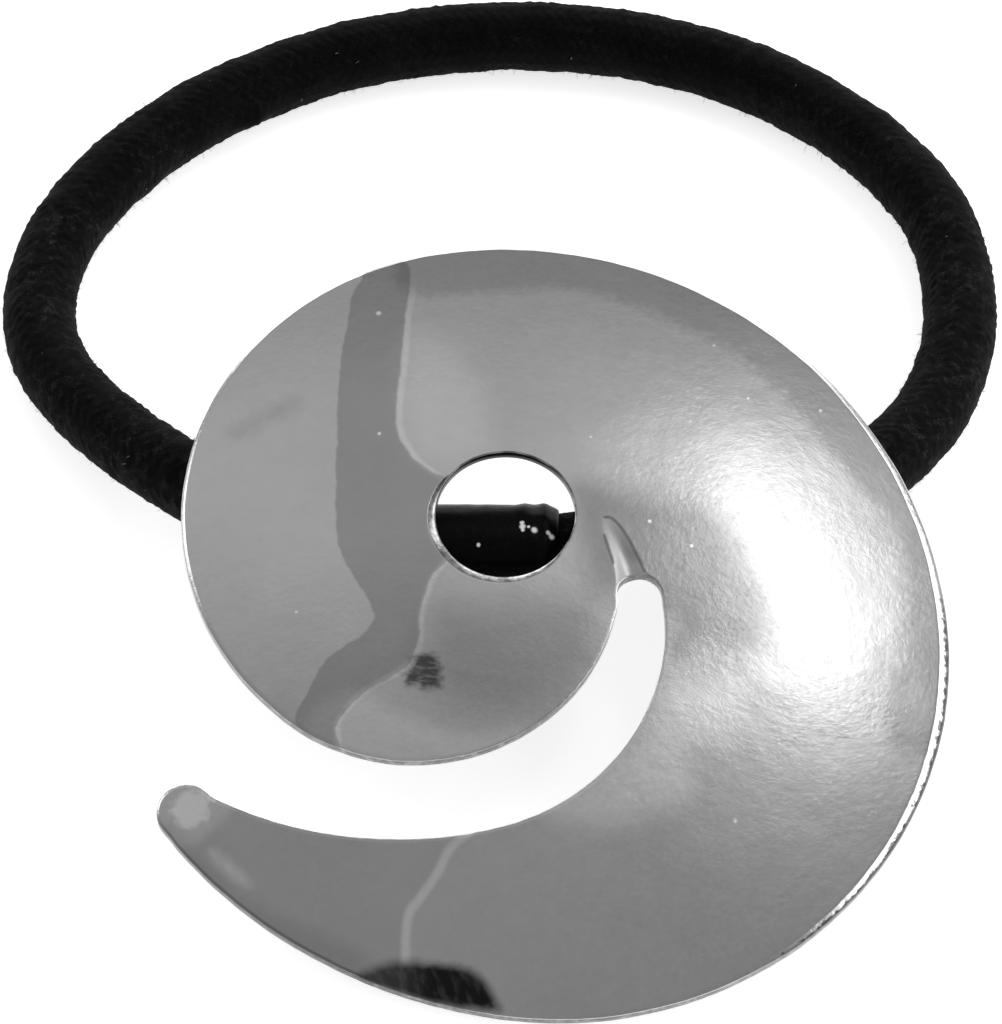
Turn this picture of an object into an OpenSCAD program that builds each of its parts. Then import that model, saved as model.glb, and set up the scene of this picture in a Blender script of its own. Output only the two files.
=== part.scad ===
// A hair tie: a domed spiral plate of sheet metal on a loop of round covered elastic.
// Lengths are in millimetres and angles in degrees. The tie lies on a surface at z = 0 with its
// front towards -Y: the loop's back and sides and the plate's front edge touch that surface.

/* [Plate] */
// Thickness of the metal sheet
sheet = 0.8; // [0.7:0.1:1]
// Radius of the ball that the sheet is domed over
dome_r = 160; // [140:10:200]
// How far the plate leans towards the front, at its hole
lean = 10.9; // [10:0.1:12]
// Diameter of the round hole
hole_d = 8.7; // [8:0.1:9]
// Radius of the tail's round tip
tip_r = 1.7; // [1.5:0.1:1.8]
// Radius of the slot's round end
slot_end_r = 1.4; // [1.35:0.05:1.5]

/* [Dent] */
// Length of the leaf-shaped dent, from its point to inside the slot
dent_l = 5.6; // [5:0.1:6]
// Angle between the dent's middle line and its sides
dent_spread = 10.3; // [9.5:0.1:11]
// Thickness of the metal around the dent
dent_wall = 0.6; // [0.5:0.1:0.7]

/* [Elastic] */
// Diameter of the covered elastic
elastic_d = 4.8; // [4.4:0.1:5]
// Number of sides of the elastic's tube
elastic_sides = 12; // [8:2:16]

/* [Join sleeve] */
// Length of the sleeve over the elastic's ends
sleeve_l = 10; // [9:0.5:11]
// Outer diameter of the sleeve
sleeve_d = 6.1; // [5.9:0.1:6.3]
// Room between the elastic and the sleeve
sleeve_gap = 0.2; // [0.15:0.05:0.25]
// Gap between the elastic's two ends inside the sleeve
end_gap = 0.5; // [0.3:0.1:1]

/* [Keepers] */
// Diameter of the wire of the two keepers
keeper_wire = 1.4; // [1.2:0.1:1.6]
// Room between the elastic and a keeper
keeper_gap = 0.35; // [0.3:0.05:0.4]

/* [Hidden] */

metal_colour = "silver";
elastic_colour = [0.07, 0.07, 0.075];
sleeve_colour = [0.03, 0.03, 0.035];

fine = 360; // facets of the ball and of the hole
round_fn = 48; // facets of wires, sleeve and small rounds
arc_step = 5; // one outline point for so many degrees

// The plate's outline, seen along the hole's axis, with the hole's centre at [0, 0].
// Both edges start at the slot's end and turn clockwise to the tail's tip.
// Columns: radius of the arc, angle that it turns through.
rim_start = [6.75, -5.2];
rim_heading = -96;
rim_arcs = [
    [12.1, 123],
    [18.8, 132.5],
    [25.5, 29.5],
    [27.5, 72.5],
    [23.9, 95],
    [30.4, 44],
];
tail_start = [9.4, -5.7];
tail_heading = -83;
tail_arcs = [
    [13.2, 84.5],
    [23.7, 43],
];
tip_centre = [-18.95, -18.6];
slot_end_centre = [8, -5.25];

// The dent is a cone that dips into the metal. Its point, the way it runs from there, and how
// its middle line rises. The cone starts before the point, small and clear of the metal.
dent_point = [5.96, -0.05];
dent_turn = -68;
dent_rise = 2.3;
dent_lead = 1;
dent_start_r = 0.17;
dent_start_height = 0.28;

// Where the hole's centre lies on the plate's upper face.
hole_x = 0.39;
hole_y = -11.32;

// The middle of the sleeve, and its rise above the height at which the elastic lies on the surface.
sleeve_x = -2;
sleeve_y = -10.8;
sleeve_rise = 3.1;

// The middle line of the elastic: out of the sleeve, through the right keeper, round the loop,
// through the left keeper and back into the sleeve. Columns: x, y, rise.
route = [
    [sleeve_x + end_gap / 2, sleeve_y, sleeve_rise],
    [3.6, sleeve_y, sleeve_rise],
    [6.4, -10.3, 3.2],
    [9.5, -9.4, 3.3],
    [14.5, -8, 2.9],
    [18.6, -6.1, 2.3],
    [22.4, -3.7, 1.6],
    [25.6, -0.2, 0.8],
    [28.3, 4.2, 0.2],
    [30, 9.4, 0],
    [30.5, 15, 0],
    [29.6, 20.8, 0],
    [27, 26, 0],
    [23.2, 30.5, 0],
    [18.2, 34.4, 0],
    [12.5, 37.1, 0],
    [6.4, 38.6, 0],
    [0, 39, 0],
    [-6.4, 38.2, 0],
    [-12.3, 36.3, 0],
    [-17.8, 33.4, 0],
    [-22.8, 29.4, 0],
    [-27, 24.2, 0],
    [-29.6, 19, 0],
    [-30.5, 13.6, 0],
    [-29.8, 8.8, 0],
    [-27.6, 4.7, 0.3],
    [-24.3, 0.7, 0.8],
    [-20.3, -3.3, 1.7],
    [-17.1, -6, 2.3],
    [-13.6, -8.4, 2.8],
    [-10.4, -9.9, 3.05],
    [-7.5, -10.75, sleeve_rise],
    [sleeve_x - end_gap / 2, sleeve_y, sleeve_rise],
];
lying = [0, 0, elastic_d / 2]; // the elastic's middle where it lies on the surface
right_keeper = 4; // row of the route that the right keeper holds
left_keeper = 30; // row of the route that the left keeper holds
steps = 2; // rings of the tube for each row of the route

// The far end of a clockwise arc that starts at p, heading h, with radius r and turn a.
function arc_end(p, h, r, a) = p + r * [sin(h) - sin(h - a), cos(h - a) - cos(h)];

// Points along one such arc, without its first point.
function arc_points(p, h, r, a) =
    let (n = ceil(a / arc_step))
    [for (i = [1 : n]) arc_end(p, h, r, a * i / n)];

// Points along a chain of arcs, each one tangent to the one before.
function walk(p, h, arcs, i = 0) =
    i == len(arcs)
        ? []
        : concat(
            arc_points(p, h, arcs[i][0], arcs[i][1]),
            walk(arc_end(p, h, arcs[i][0], arcs[i][1]), h - arcs[i][1], arcs, i + 1)
        );

function backwards(list) = [for (i = [len(list) - 1 : -1 : 0]) list[i]];

rim = concat([rim_start], walk(rim_start, rim_heading, rim_arcs));
tail = concat([tail_start], walk(tail_start, tail_heading, tail_arcs));

// Height of a ball of radius r, with its centre dome_r below the hole, at the flat place p.
function ball_z(p, r) = sqrt(r * r - p * p) - dome_r;

// The plate lies with the lower edge of its rim on the surface.
hole_z = -min([for (p = rim) p.y * sin(lean) + ball_z(p, dome_r - sheet) * cos(lean)]);
hole_at = [hole_x, hole_y, hole_z];

// A point of the row's frame, in the leaning plate's own frame.
function in_plate(p) =
    let (d = p - hole_at)
    [d.x, d.y * cos(lean) + d.z * sin(lean), d.z * cos(lean) - d.y * sin(lean)];

module in_place() {
    translate(hole_at) rotate([lean, 0, 0]) children();
}

// The outline as a block, tall enough to hold the whole dome.
module outline_block() {
    translate([0, 0, -8]) difference() {
        union() {
            linear_extrude(height = 10) polygon(concat(rim, backwards(tail)));
            translate(tip_centre) cylinder(h = 10, r = tip_r, $fn = round_fn);
        }
        translate([slot_end_centre.x, slot_end_centre.y, -1])
            cylinder(h = 12, r = slot_end_r, $fn = round_fn);
    }
}

module ball(r) {
    translate([0, 0, -dome_r]) sphere(r = r, $fn = fine);
}

// A cone along the dent, wider by wall all the way.
module dent_cone(wall) {
    start = dent_point - dent_lead * [cos(dent_turn), sin(dent_turn)];
    r = dent_start_r + wall;
    h = dent_lead + dent_l;
    translate([start.x, start.y, ball_z(start, dome_r) + dent_start_height])
        rotate([0, 90 - dent_rise, dent_turn])
            cylinder(h = h, r1 = r, r2 = r + h * tan(dent_spread), $fn = round_fn);
}

// Half a ring of wire under the elastic, with two straight legs up into the sheet.
module keeper(row) {
    along = route[row + 1] - route[row - 1];
    at = in_plate(route[row] + lying);
    ring_r = elastic_d / 2 + keeper_gap + keeper_wire / 2;
    leg = ball_z([at.x, at.y], dome_r) - sheet / 2 - at.z;
    translate(at) rotate([0, 0, atan(along.y / along.x)]) {
        rotate([0, 90, 0]) rotate([0, 0, -90])
            rotate_extrude(angle = 180, $fn = round_fn)
                translate([ring_r, 0]) circle(d = keeper_wire, $fn = round_fn);
        for (side = [-1, 1])
            translate([0, side * ring_r, 0]) cylinder(h = leg, d = keeper_wire, $fn = round_fn);
    }
}

module spiral_plate() {
    color(metal_colour) in_place() {
        difference() {
            intersection() {
                ball(dome_r);
                outline_block();
            }
            difference() {
                ball(dome_r - sheet);
                dent_cone(dent_wall);
            }
            dent_cone(0);
            translate([0, 0, -5]) cylinder(h = 10, d = hole_d, $fn = fine);
        }
        keeper(right_keeper);
        keeper(left_keeper);
    }
}

// A point between rows b and c of a smooth curve, with a and d the rows before and after.
function between(a, b, c, d, t) =
    0.5 * (2 * b + (c - a) * t + (2 * a - 5 * b + 4 * c - d) * t ^ 2 + (3 * b - a - 3 * c + d) * t ^ 3);

last = len(route) - 1;

// A place on the route. Past either end, the route goes straight on.
function place(i) =
    i < 0 ? 2 * place(0) - place(1) :
    i > last ? 2 * place(last) - place(last - 1) :
    route[i] + lying;

middle_line = concat(
    [for (i = [0 : last - 1], s = [0 : steps - 1])
        between(place(i - 1), place(i), place(i + 1), place(i + 2), s / steps)],
    [place(last)]
);

function unit(v) = v / norm(v);

// The corners of the tube round each point of the middle line, ring after ring.
tube_corners = [
    for (i = [0 : len(middle_line) - 1])
        let (
            before = middle_line[max(i - 1, 0)],
            after = middle_line[min(i + 1, len(middle_line) - 1)],
            along = unit(after - before),
            side = unit(cross([0, 0, 1], along)),
            up = cross(along, side)
        )
        for (k = [0 : elastic_sides - 1])
            let (a = 360 * k / elastic_sides)
            middle_line[i] + elastic_d / 2 * (cos(a) * side + sin(a) * up)
];

module elastic_cord() {
    n = elastic_sides;
    rings = len(middle_line);
    color(elastic_colour) polyhedron(
        points = tube_corners,
        faces = concat(
            [[for (k = [0 : n - 1]) k]],
            [for (i = [0 : rings - 2], k = [0 : n - 1])
                [i * n + k, (i + 1) * n + k, (i + 1) * n + (k + 1) % n, i * n + (k + 1) % n]],
            [[for (k = [n - 1 : -1 : 0]) (rings - 1) * n + k]]
        )
    );
}

module join_sleeve() {
    bore_d = elastic_d + 2 * sleeve_gap;
    color(sleeve_colour) translate([sleeve_x, sleeve_y, sleeve_rise] + lying)
        rotate([0, 90, 0]) difference() {
            cylinder(h = sleeve_l, d = sleeve_d, center = true, $fn = round_fn);
            cylinder(h = sleeve_l + 2, d = bore_d, center = true, $fn = round_fn);
        }
}

spiral_plate();
elastic_cord();
join_sleeve();
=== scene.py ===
"""The looks of a spiral hair tie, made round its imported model.

Sizes are in millimetres until a piece is made, and turn into metres there. The plate is drawn in
its own frame, with the hole's centre at (0, 0) and z along the hole, and is then leant and set down.
"""

import math

import bpy
import numpy as np
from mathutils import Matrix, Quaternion, Vector
from mathutils.geometry import delaunay_2d_cdt
from mathutils.kdtree import KDTree


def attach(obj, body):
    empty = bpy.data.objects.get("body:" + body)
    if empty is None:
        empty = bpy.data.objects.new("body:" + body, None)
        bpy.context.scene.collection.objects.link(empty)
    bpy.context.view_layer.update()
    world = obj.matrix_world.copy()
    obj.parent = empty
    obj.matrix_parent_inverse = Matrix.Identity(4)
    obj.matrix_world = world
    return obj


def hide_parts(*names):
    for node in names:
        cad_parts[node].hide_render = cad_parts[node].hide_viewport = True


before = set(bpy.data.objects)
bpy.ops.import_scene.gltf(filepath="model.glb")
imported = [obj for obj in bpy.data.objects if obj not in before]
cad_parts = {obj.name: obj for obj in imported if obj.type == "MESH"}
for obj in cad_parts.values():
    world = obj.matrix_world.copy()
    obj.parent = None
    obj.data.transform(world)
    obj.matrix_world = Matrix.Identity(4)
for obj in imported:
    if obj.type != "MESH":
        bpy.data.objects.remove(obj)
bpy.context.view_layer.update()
MM = 0.001  # metres

# The plate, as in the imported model
SHEET = 0.8
DOME_R = 160.0
LEAN = math.radians(10.9)
HOLE_R = 4.35
WALL_REACH = 0.8  # its filed edge ends within this distance
HOLE_X, HOLE_Y = 0.39, -11.32
RIM_START, RIM_HEADING = (6.75, -5.2), -96
RIM_ARCS = [(12.1, 123), (18.8, 132.5), (25.5, 29.5), (27.5, 72.5), (23.9, 95), (30.4, 44)]
TAIL_START, TAIL_HEADING = (9.4, -5.7), -83
TAIL_ARCS = [(13.2, 84.5), (23.7, 43)]
TIP_CENTRE, TIP_R = (-18.95, -18.6), 1.7
SLOT_END_CENTRE, SLOT_END_R = (8.0, -5.25), 1.4

# The two sides of the leaf-shaped dent, from its point to inside the slot, and its depth there
DENT_RIGHT = [(5.86, -0.1), (6.4, -0.16), (7.0, -0.86), (7.71, -2.22), (8.5, -4.2), (9.2, -6.2)]
DENT_LEFT = [(5.86, -0.1), (5.84, -0.9), (6.14, -2.05), (6.46, -3.2), (6.62, -4.5), (6.7, -6.2)]
DENT_DEPTH = 0.19
DENT_LENGTH = 5.0

# Each side is drawn with this many parts between two points, and a painted dark line of shade runs on some
# of them
DENT_PARTS = 5
DENT_LINE_LEFT, DENT_LINE_RIGHT = slice(7, 16), slice(1, 20)

# The filed edge of the sheet, as (inset, depth) for a width of 1, from the face to the side wall,
# and its back edge as (inset, height) in millimetres
EDGE_SHAPE = [(0.94, 0.012), (0.8, 0.07), (0.5, 0.2), (0.2, 0.34), (0.05, 0.46), (0.0, 0.66)]
BACK_EDGE_SHAPE = [(0.0, 0.16), (0.05, 0.05), (0.16, 0.0)]

# The points' value called edge is 0 on the face, rises row by row to 0.9, and is ON_BACK behind
EDGE_ROWS = len(EDGE_SHAPE) + len(BACK_EDGE_SHAPE) + 1
ON_BACK = 2.0
FAR_OFF = 9.0  # a distance from any mark, for the back and the keepers

# Distances between the points of the plate's mesh: on its outline, on its face and in its dent
OUTLINE_STEP, FACE_STEP, DENT_STEP = 0.28, 0.42, 0.1
# A second row of points this far inside the edge's round keeps the face flat there
HELD = 0.09
# The dent's close points reach this far past it, and the others keep this far from them
DENT_MARGIN, DENT_ROOM = 0.25, 0.3

# The worn inner edge of the hole, a little narrower than the hole and a little higher
EDGE_CENTRE, EDGE_R = (-0.05, 0.2), 4.24

# The elastic, its sleeve and the two keepers
ELASTIC_D = 4.8
SLEEVE_X, SLEEVE_Y, SLEEVE_RISE = -2.0, -10.8, 3.1
SLEEVE_L, SLEEVE_D = 10.0, 6.1
SLEEVE_ROOM, SLEEVE_SIDES = 0.12, 64
END_GAP = 0.5
KEEPER_WIRE, KEEPER_GAP = 1.4, 0.35
# Their feet stand this deep in the sheet, in solder of this radius and height
FOOT_DEPTH = 0.05
SOLDER_SPREAD, SOLDER_HEIGHT = 0.75, 0.28
RIGHT_KEEPER, LEFT_KEEPER = 4, 30  # the points of the route where they hold the elastic
ROUTE = [
    (SLEEVE_X + END_GAP / 2, SLEEVE_Y, SLEEVE_RISE), (3.6, SLEEVE_Y, SLEEVE_RISE), (6.4, -10.3, 3.2),
    (9.5, -9.4, 3.3), (14.5, -8, 2.9), (18.6, -6.1, 2.3), (22.4, -3.7, 1.6), (25.6, -0.2, 0.8),
    (28.3, 4.2, 0.2), (30, 9.4, 0), (30.5, 15, 0), (29.6, 20.8, 0), (27, 26, 0), (23.2, 30.5, 0),
    (18.2, 34.4, 0), (12.5, 37.1, 0), (6.4, 38.6, 0), (0, 39, 0), (-6.4, 38.2, 0), (-12.3, 36.3, 0),
    (-17.8, 33.4, 0), (-22.8, 29.4, 0), (-27, 24.2, 0), (-29.6, 19, 0), (-30.5, 13.6, 0), (-29.8, 8.8, 0),
    (-27.6, 4.7, 0.3), (-24.3, 0.7, 0.8), (-20.3, -3.3, 1.7), (-17.1, -6, 2.3), (-13.6, -8.4, 2.8),
    (-10.4, -9.9, 3.05), (-7.5, -10.75, SLEEVE_RISE), (SLEEVE_X - END_GAP / 2, SLEEVE_Y, SLEEVE_RISE),
]
LYING = (0, 0, ELASTIC_D / 2)  # the route's heights are of the elastic's underside

# The elastic's braided cover, and its unevenness as (height, seed, size)
ELASTIC_STEP, ELASTIC_SIDES = 0.2, 96
BRAID_PITCH, BRAID_COLUMNS, BRAID_RELIEF = 0.8, 16, 0.11
ELASTIC_RIPPLES = [(0.03, 3, 6.0), (0.035, 4, 1.8), (0.02, 6, 0.7)]

# Where a loop of the cover is pulled out a little
PULL_AT = (-16.6, 30.3, 2.2)
PULL_HEIGHT, PULL_SPREAD = 0.6, 1.1

# The loose fibres, the first of them pale lint. None stand on the elastic's ends, counted in its
# steps, or come nearer to the floor than FLOOR_ROOM.
FIBRES, LINT = 3200, 60
FIBRE_LENGTHS = (0.2, 0.55)
BARE_ENDS, ROOT_DEPTH, FLOOR_ROOM = 60, 0.06, 0.1

# Marks on the plate's upper face, each a closed outline in the plate's frame that is drawn as a
# curve, with PATCH_PARTS parts between two points
PATCH_PARTS = 5
PATCHES = {
    # a band of painted dark reflection, and darker marks
    "band": [
        (-9.2, 17.6), (-9.7, 16.4), (-10, 13.9), (-10.3, 11.3), (-10.4, 8.4), (-10.4, 2), (-10.3, -0.5),
        (-10, -2.4), (-9, -4.4), (-8.3, -5.5), (-7.9, -6.6), (-8.1, -7.3), (-8.8, -8.1), (-9.8, -8.7),
        (-10.8, -9.6), (-11.4, -10.7), (-12, -12), (-12.5, -13.3), (-11.6, -14.6), (-10, -15.4),
        (-9.9, -14.7), (-10.1, -13.9), (-9.6, -13), (-8.8, -12), (-7.9, -11.3), (-6.8, -10.7), (-5.9, -10),
        (-5.4, -9), (-5.2, -8), (-5.2, -6.6), (-4.9, -5.4), (-4.5, -4.2), (-3.7, -3.2), (-3, -2.6), (-3, 2),
        (-4.4, 3), (-5.5, 3.9), (-6.2, 4.9), (-6.7, 6.1), (-6.8, 7.7), (-6.7, 9.2), (-6.5, 11.4),
        (-6.4, 13.6), (-6.3, 15.2), (-6.1, 17.2), (-6.3, 19), (-8.6, 19),
    ],
    "tail_darker": [
        (-2.2, -20.7), (-3.5, -21.5), (-4.3, -22.8), (-5.3, -24.3), (-5.9, -25), (-6.1, -28), (-6.5, -33),
        (-24, -24), (-24, -16), (-10, -18),
    ],
    "cloud": [
        (-17.2, 6.4), (-15.8, 7.4), (-14.2, 8.3), (-12.9, 8.7), (-13.2, 7.7), (-14.8, 7), (-16.2, 6),
    ],
    "smudge": [
        (-6.2, -10.9), (-5.7, -10.2), (-5.5, -9.5), (-4.9, -9.1), (-4.2, -9.4), (-4, -9.9), (-3.9, -10.5),
        (-3.8, -11.4), (-4.9, -11.5), (-5.6, -11.2),
    ],
    "dark_lens": [
        (-8.5, -28.8), (-7, -28.1), (-5.6, -28), (-3.8, -28.2), (-2.6, -28.35), (-1.9, -28.6),
        (-1.25, -29.2), (-0.75, -30), (-0.4, -30.85), (-2.1, -30.75), (-3.9, -30.5), (-5.8, -30),
        (-7.2, -29.5),
    ],
    # pale spots at the tail's tip
    "tip_zone": [
        (-16.4, -16), (-15.8, -18), (-17, -19.6), (-18.6, -20.8), (-21, -21), (-22, -17), (-19, -15.2),
    ],
    "tip_spot": [
        (-18.3, -17.4), (-17.6, -17.9), (-17.6, -19), (-18.2, -19.6), (-19.2, -19.5), (-19.7, -18.7),
        (-19.3, -17.7),
    ],
    "streak": [(-17.3, -21.1), (-16.6, -21.5), (-15.4, -22.6), (-14.9, -23.4), (-15.9, -22.9), (-17, -21.9)],
    # painted shade and painted highlight, with soft borders
    "shade": [
        (-4.2, -6.2), (-1.6, -6), (2.2, -5.8), (5.2, -5.6), (5.8, -8.5), (4.8, -11.4), (1, -13.3),
        (-3.2, -12.4), (-5, -10.6), (-4.9, -8.4),
    ],
    "hollow_shade": [
        (4, 2), (5.7, 2.2), (9.1, 1.3), (12.8, 0.7), (15, -3.1), (15.9, -6), (15.4, -8.4), (13.7, -9),
        (11.6, -8.6), (9.8, -9.2), (9.4, -7), (5.65, -5.1), (4.8, -3.8), (4.1, -1),
    ],
    "highlight_haze": [
        (5.1, 5), (7, 6.8), (10.8, 8.4), (14.5, 7.8), (16, 5.5), (15.3, 3.9), (11.9, 3.7), (8.2, 3.5),
    ],
    "glow": [
        (2.6, -19.1), (5.5, -16.3), (7.9, -14.4), (9.6, -11.5), (11.5, -11), (13.6, -11.4), (13.8, -13.9),
        (12.9, -14.6), (11, -14.9), (10.6, -17.8), (8.6, -19.2), (5.5, -20),
    ],
    "low_glow": [
        (-10.2, -11.9), (-8.4, -11.8), (-5.1, -13.6), (-1.6, -14.5), (1.1, -13.9), (2, -14.9),
        (-1.6, -17.5), (-6.3, -18.3), (-11, -17), (-12, -13.5),
    ],
    "band_glow": [(-6.1, 13), (-3.5, 12.6), (-1.2, 8.2), (-1.8, 4.4), (-5.2, 4.3), (-6.4, 8.3)],
    "tail_shade": [
        (-19.9, -19.4), (-18.3, -21), (-16.1, -23.2), (-13.8, -24.9), (-11.4, -26), (-9.2, -27),
        (-8, -28.1), (-8.5, -30), (-14, -28), (-19, -25), (-22, -20),
    ],
    "rim_shade": [
        (-6.1, 16.6), (-0.4, 16.6), (4, 16.8), (8.2, 15.5), (11.8, 13.7), (14.7, 11.8), (17.2, 9.2),
        (19.3, 6.2), (21.7, 2.8), (23.8, 0.1), (24.3, -3), (24.1, -7), (23.1, -10.5), (22.7, -13.2),
        (24, -15), (29, -14), (29, -3), (27, 3), (24, 9), (20, 14), (14, 18.5), (6, 22), (-4, 22), (-7, 20),
    ],
    "dent_shade": [(5.4, 0.4), (6.6, 0.3), (8.2, -1.6), (8, -3), (6.6, -2.5), (5.5, -1.4)],
}

# The patches that do no more than change the metal's tone: name, softness of the border, factor
# Most are painted shade and painted highlight, and band is a painted dark reflection
SOFT_PATCHES = [
    ("tail_darker", 0.2, 0.92),
    ("shade", 2.1, 0.69),
    ("highlight_haze", 1.6, 1.15),
    ("glow", 1.3, 1.35),
    ("low_glow", 0.9, 1.24),
    ("band_glow", 1.5, 1.18),
    ("tail_shade", 0.8, 0.83),
    ("band", 0.1, 0.67),
]

# Pale lines border two areas that lie partly outside the plate: the band's edge, part of its painted
# reflection, and a line on the tail. The last list of each is its way round out there, without curves.
PALE_LINE_PARTS = 4
UPPER_BAND_EDGE = [
    (-3.6, 2.4), (-4.4, 3), (-5.4, 3.9), (-6, 4.9), (-6.5, 6.1), (-6.6, 7.7), (-6.5, 9.2), (-6.3, 11.4),
    (-6.2, 13.6), (-6.1, 15.2), (-5.9, 16.6), (-5.8, 19.5),
]
LOWER_BAND_EDGE = [
    (-9.8, -16.6), (-10, -13.8), (-9.6, -12.9), (-8.8, -11.9), (-7.9, -11.2), (-6.8, -10.6), (-5.9, -9.9),
    (-5.3, -9), (-5.1, -8), (-5.1, -6.6), (-4.8, -5.4), (-4.4, -4.2), (-3.8, -3.3), (-3, -2.4),
]
BAND_EDGE_ROUND = [(-30, 30), (-34, -14.5), (-20, -14.6), (-14.5, -15.5)]
TAIL_PALE_LINE = [
    (-1.9, -19.3), (-2.2, -20.4), (-3.3, -21.4), (-4, -22.8), (-5, -24.3), (-5.6, -25.1), (-5.8, -26.2),
    (-5.85, -27.9), (-5.9, -31),
]
TAIL_PALE_LINE_ROUND = [(-34, -34), (-34, -14.5), (-20, -14.6), (-14.5, -15.5), (-10, -16.5), (-4.5, -17.5)]

# Pale specks on the plate, as (x, y, radius) in its frame; the last two, at the tail's tip, are a painted
# glint
SPECKS_AND_GLINT = [
    (-8, 15, 0.18), (-7.8, 5.9, 0.13), (8.7, -0.3, 0.13), (19.5, 8.2, 0.12), (15, 8.8, 0.1),
    (13.4, -19.5, 0.14), (11.2, -1.9, 0.1), (5.2, 5.6, 0.1), (-12.6, -6.3, 0.1), (13, 12.7, 0.1),
    (-17.5, -17.95, 0.24), (-17.2, -18.1, 0.16),
]

# Painted glints on the sleeve, as (x, y, radius) in the tie's frame
GLINTS = [
    (1.35, -10.85, 0.15), (1.38, -11.15, 0.2), (1.4, -11.4, 0.12), (2.1, -11.4, 0.2), (1.75, -11.2, 0.1),
    (2.95, -11.5, 0.15), (3.15, -11.7, 0.18), (-1.3, -12.3, 0.12),
]

# Where the photo's camera stands, and how far it sees
CAMERA_AT = (0.07, -158.3, 185.2)
CAMERA_TILT = math.radians(40)
CAMERA_LENS = 135.6
CAMERA_SENSOR = 36.0

# The soft lights: name, place, size, power in watts, and degrees turned about the axis
LIGHTS = [
    ("key", (176, 132, 566), (168, 50), 0.121, -15),
    ("key_halo", (178, 110, 580), (270, 220), 0.047, 0),
    ("back", (0, 640, 190), (900, 260), 1.8, 0),
    ("right", (445, 232, 325), (440, 225), 1.15, 0),
    ("right_front", (514, -119, 286), (350, 150), 0.5, 0),
    ("left", (-450, 200, 300), (250, 200), 0.3, 0),
]

# How bright the pale room is: an axis, two places on it, and the factors before and after them
ROOM_SHADES = [
    ("Y", 0.05, 0.32, 0.36, 0.61),
    ("Y", 0.42, 0.60, 1.0, 0.62),
    ("X", -0.1, 0.3, 1.0, 0.85),
]
FLOOR_HALF = 1.5  # metres


def walk(start, heading, arcs, step=2.0):
    """Points along a chain of tangent arcs that turn clockwise, each one (radius, degrees turned)."""
    points = [np.array(start, float)]
    heading = math.radians(heading)
    for radius, turned in arcs:
        corner, turn = points[-1], math.radians(turned)
        for a in np.linspace(0, turn, math.ceil(turned / step) + 1)[1:]:
            along = (math.sin(heading) - math.sin(heading - a), math.cos(heading - a) - math.cos(heading))
            points.append(corner + radius * np.array(along))
        heading -= turn
    return np.array(points)


def arc(centre, radius, first, last, step=6.0):
    """Points along a circle from one angle to another, both in degrees."""
    angles = np.radians(np.linspace(first, last, math.ceil(abs(last - first) / step) + 1))
    return np.array(centre) + radius * np.stack([np.cos(angles), np.sin(angles)], axis=1)


def angle_of(point, centre):
    """The way from the centre to the point, in degrees."""
    return math.degrees(math.atan2(point[1] - centre[1], point[0] - centre[0]))


def resampled(points, step, closed=False):
    """The same line with its points evenly spaced, about step apart."""
    line = np.vstack([points, points[:1]]) if closed else np.asarray(points, float)
    along = np.concatenate([[0], np.cumsum(np.linalg.norm(np.diff(line, axis=0), axis=1))])
    count = max(2, round(along[-1] / step))
    at = np.linspace(0, along[-1], count + 1)[: count if closed else None]
    return np.stack([np.interp(at, along, line[:, k]) for k in range(line.shape[1])], axis=1)


def smoothed(points, passes):
    """A closed line with its small corners taken off."""
    for _ in range(passes):
        points = (np.roll(points, 1, 0) + 2 * points + np.roll(points, -1, 0)) / 4
    return points


def curve_through(points, parts=8, closed=False):
    """A smooth curve through the points, with this many parts between two of them."""
    p = np.asarray(points, float)
    if closed:
        q = np.vstack([p[-1:], p, p[:2]])
    else:
        q = np.vstack([2 * p[:1] - p[1:2], p, 2 * p[-1:] - p[-2:-1]])
    t = (np.arange(parts) / parts)[:, None]
    spans = []
    for a, b, c, d in zip(q, q[1:], q[2:], q[3:]):
        square = (2 * a - 5 * b + 4 * c - d) * t**2
        cube = (3 * b - a - 3 * c + d) * t**3
        spans.append(0.5 * (2 * b + (c - a) * t + square + cube))
    return np.vstack(spans if closed else spans + [p[-1:]])


def ripple(points, seed, scale, waves=12):
    """Smooth random waves, from about -1 to 1, of the given size."""
    points = np.asarray(points, float).reshape(len(points), -1)
    rng = np.random.default_rng(seed)
    directions = rng.normal(size=(waves, points.shape[1]))
    directions /= np.linalg.norm(directions, axis=1)[:, None]
    rates = 2 * math.pi / scale * rng.uniform(0.6, 1.6, waves)
    phases = rng.uniform(0, 2 * math.pi, waves)
    return np.cos(points @ directions.T * rates + phases).sum(1) / math.sqrt(waves)


def bell(x, middle, spread):
    """1 at the middle, and less and less on both sides of it."""
    return np.exp(-(((x - middle) / spread) ** 2))


def inward(line):
    """Unit normals of a closed anticlockwise line, towards its inside."""
    along = np.roll(line, -1, 0) - np.roll(line, 1, 0)
    along /= np.linalg.norm(along, axis=1)[:, None]
    return np.stack([-along[:, 1], along[:, 0]], axis=1)


def is_inside(points, line):
    """Which points lie inside a closed line."""
    x, y = points[:, 0], points[:, 1]
    inside = np.zeros(len(points), bool)
    for (x1, y1), (x2, y2) in zip(line, np.roll(line, -1, 0)):
        if y1 != y2:
            crosses = ((y1 > y) != (y2 > y)) & (x < (x2 - x1) * (y - y1) / (y2 - y1) + x1)
            inside ^= crosses
    return inside


def distance_to(points, line, closed=False):
    """How far each point is from a line."""
    ends = np.roll(line, -1, 0) if closed else line[1:]
    best = np.full(len(points), np.inf)
    for a, b in zip(line, ends):
        d = b - a
        t = np.clip((points - a) @ d / max(d @ d, 1e-12), 0, 1)
        best = np.minimum(best, np.linalg.norm(points - a - t[:, None] * d, axis=1))
    return best


def depth_inside(points, outline):
    """How far inside a closed outline each point lies, less than nothing outside it."""
    return np.where(is_inside(points, outline), 1, -1) * distance_to(points, outline, closed=True)


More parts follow.
